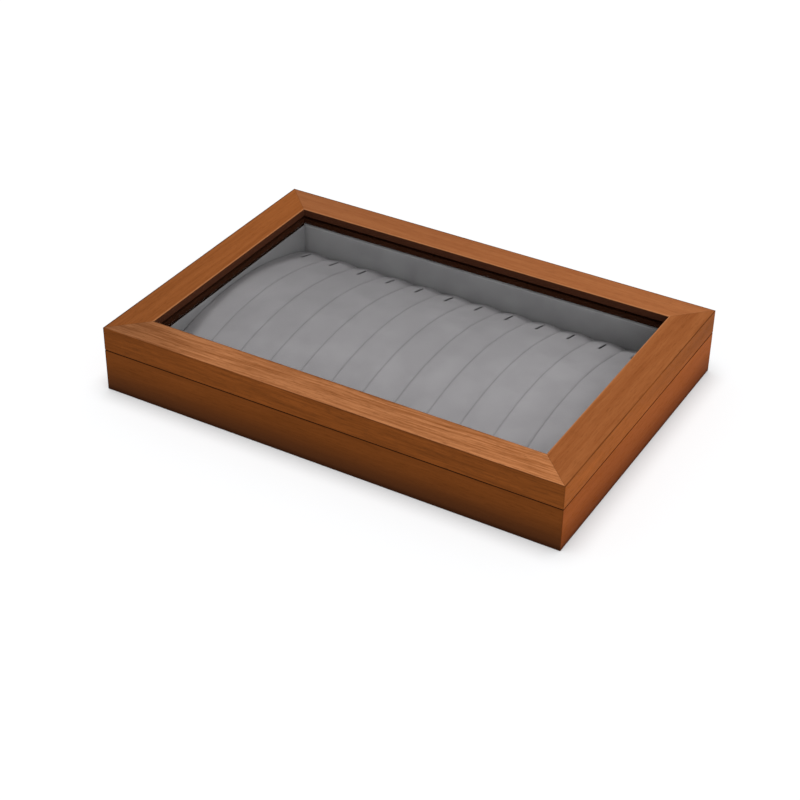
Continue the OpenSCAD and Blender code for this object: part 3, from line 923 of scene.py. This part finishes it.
# %% [markdown]
# A wall has to be cut into many small faces before it can swell, so its long and its upright edges are
# subdivided. The narrow top face gets the second material, which is the velvet once more on the long
# walls.

# %% Velvet walls
SIDES = {"front": Vector((0, -1, 0)), "back": Vector((0, 1, 0)), "left": Vector((-1, 0, 0)),
         "right": Vector((1, 0, 0))}
TO_BACK = Vector((0, 1, 0))


def velvet_wall(side, outward, lining, top_edge):
    """One lined wall, with its mitres. top_edge is the material of the narrow top face."""
    node = "tray_wall_" + side
    low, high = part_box(node)
    along = Vector((-outward.y, outward.x, 0))
    bm = box_bmesh(node)
    top_edges = [edge for edge in bm.edges
                 if reach_along(edge, along) > 100 * MM and edge.verts[0].co.z > high.z - MM]
    bmesh.ops.bevel(bm, geom=top_edges, offset=WALL_ROLL, affect="EDGES", segments=5, profile=0.5,
                    material=-1)
    length = (high - low).dot(Vector([abs(part) for part in along]))
    long_edges = [edge for edge in bm.edges if reach_along(edge, along) > 0.9 * length]
    bmesh.ops.subdivide_edges(bm, edges=long_edges, cuts=60, use_grid_fill=True)
    upright = [edge for edge in bm.edges if reach_along(edge, STRAIGHT_UP) > 20 * MM]
    bmesh.ops.subdivide_edges(bm, edges=upright, cuts=8, use_grid_fill=True)
    swell_inwards(bm, outward, low, high)
    cut_mitres(bm, outward, along, low, high)
    for face in bm.faces:
        face.material_index = int(face.calc_center_median().z > high.z - 0.05 * MM)
    wall = finished(bm, "velvet_wall_" + side, lining, "base", 50)
    wall.data.materials.append(top_edge)
    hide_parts(node)


long_lining = velvet("grey_velvet_long_walls", *LINING)
# The short walls' velvet is painted darker towards the back: painted shade.
short_lining = velvet("grey_velvet_short_walls", *LINING, (TO_BACK, 0.94, 0.6))
# The short walls' top face: dark wood put there as painted shade.
shade_edge = stained_ash("painted_shade_short_wall_edge", 13, True, "#2c190f", "#20120b")
for side, outward in SIDES.items():
    materials = (short_lining, shade_edge) if outward.x else (long_lining, long_lining)
    velvet_wall(side, outward, *materials)

# %% [markdown]
# The pane is a sheet of low-glare glass with ground edges. Looking down through it, the eye hardly sees
# it: next to no light comes back, and a little more at a flat angle. It is a mix of a clear and a glossy
# shader. Plain glass reflects 4 per cent face on and everything at a grazing angle, and between the two
# the share grows with the fifth power. A Fresnel node would be wrong here: this clear shader doesn't
# bend light, so from inside the sheet the node would see total reflection. The whole share is then cut,
# as the coating on the glass of display cases does.

# %% Glass pane
GROUND_EDGE = 0.3 * MM
FACE_ON = 0.04
GLARE = 0.06


def clear_glass(name):
    """Low-glare float glass: clear, with very fine wipe marks in its gloss."""
    material, tree, output = new_material(name)
    place = add(tree, "TexCoord").outputs["Object"]
    wiped = add(tree, "TexNoise", {"Vector": place, "Scale": 1 / (35 * MM), "Detail": 4.0})
    gloss = add(tree, "MapRange", {"Value": wiped.outputs[0], "To Min": 0.03, "To Max": 0.09})
    facing = add(tree, "LayerWeight", {"Blend": 0.5}).outputs["Facing"]
    grazing = add(tree, "Math", {0: facing, 1: 5.0}, operation="POWER")
    share = add(tree, "MapRange", {"Value": grazing, "To Min": FACE_ON * GLARE, "To Max": GLARE})
    clear = add(tree, "BsdfTransparent", {"Color": linear("#fdfdfd")})
    shiny = add(tree, "BsdfGlossy", {"Color": (1, 1, 1, 1), "Roughness": gloss})
    glass = add(tree, "MixShader", {0: share, 1: clear, 2: shiny})
    tree.links.new(glass.outputs[0], output.inputs["Surface"])
    return material


bm = box_bmesh("glass_pane")
bmesh.ops.bevel(bm, geom=bm.edges[:], offset=GROUND_EDGE, affect="EDGES", segments=2, profile=0.5,
                material=-1)
pane = finished(bm, "clear_pane", clear_glass("low_glare_glass"), "lid", 20)
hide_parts("glass_pane")

# %% [markdown]
# Under the box lies a sheet of black felt, glued to the panel. Felt is pressed fibre without a weave:
# it is quite matt, with a faint cloud of paler hairs, and its face is never dead flat. A grid with a
# little noise in its height makes the underside, and it stays above the table.

# %% Felt underside
FELT_UNEVEN = 0.12 * MM
FELT_CLOUD = 8 * MM
FELT_COLUMNS = 64
FELT_ROWS = 42


def pressed_felt(name):
    """Pressed wool felt: matt black-brown with paler hairs, drawn 1 mm apart so that they show."""
    material, tree, output = new_material(name)
    place = add(tree, "TexCoord").outputs["Object"]
    hairs = add(tree, "TexNoise", {"Vector": place, "Scale": 1 / (1.0 * MM), "Detail": 4.0,
                                   "Roughness": 0.8, "Distortion": 1.5})
    colour = add(tree, "Mix", {0: hairs.outputs[0], 6: linear("#0f0d0e"), 7: linear("#3c3839")},
                 data_type="RGBA")
    bump = add(tree, "Bump", {"Height": hairs.outputs[0], "Strength": 0.6, "Distance": 0.3 * MM})
    felt = add(tree, "BsdfPrincipled", {"Base Color": colour.outputs[2], "Roughness": 1.0,
                                        "Specular IOR Level": 0.1, "Sheen Weight": 0.2, "Normal": bump})
    tree.links.new(felt.outputs[0], output.inputs["Surface"])
    return material


felt_low, felt_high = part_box("base_felt")
felt_size = felt_high - felt_low
bm = bmesh.new()
bmesh.ops.create_grid(bm, x_segments=FELT_COLUMNS, y_segments=FELT_ROWS, size=0.5)
bmesh.ops.scale(bm, vec=(felt_size.x, felt_size.y, 1), verts=bm.verts)
under = bmesh.ops.extrude_face_region(bm, geom=bm.faces[:])
lowered = [part for part in under["geom"] if isinstance(part, bmesh.types.BMVert)]
for vert in bm.verts:
    vert.co.z = felt_high.z
for vert in lowered:
    vert.co.z = felt_low.z + FELT_UNEVEN * (0.5 + 0.5 * noise.noise(vert.co / FELT_CLOUD))
felt = finished(bm, "felt_underside", pressed_felt("black_felt"), "base", 40)
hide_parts("base_felt")
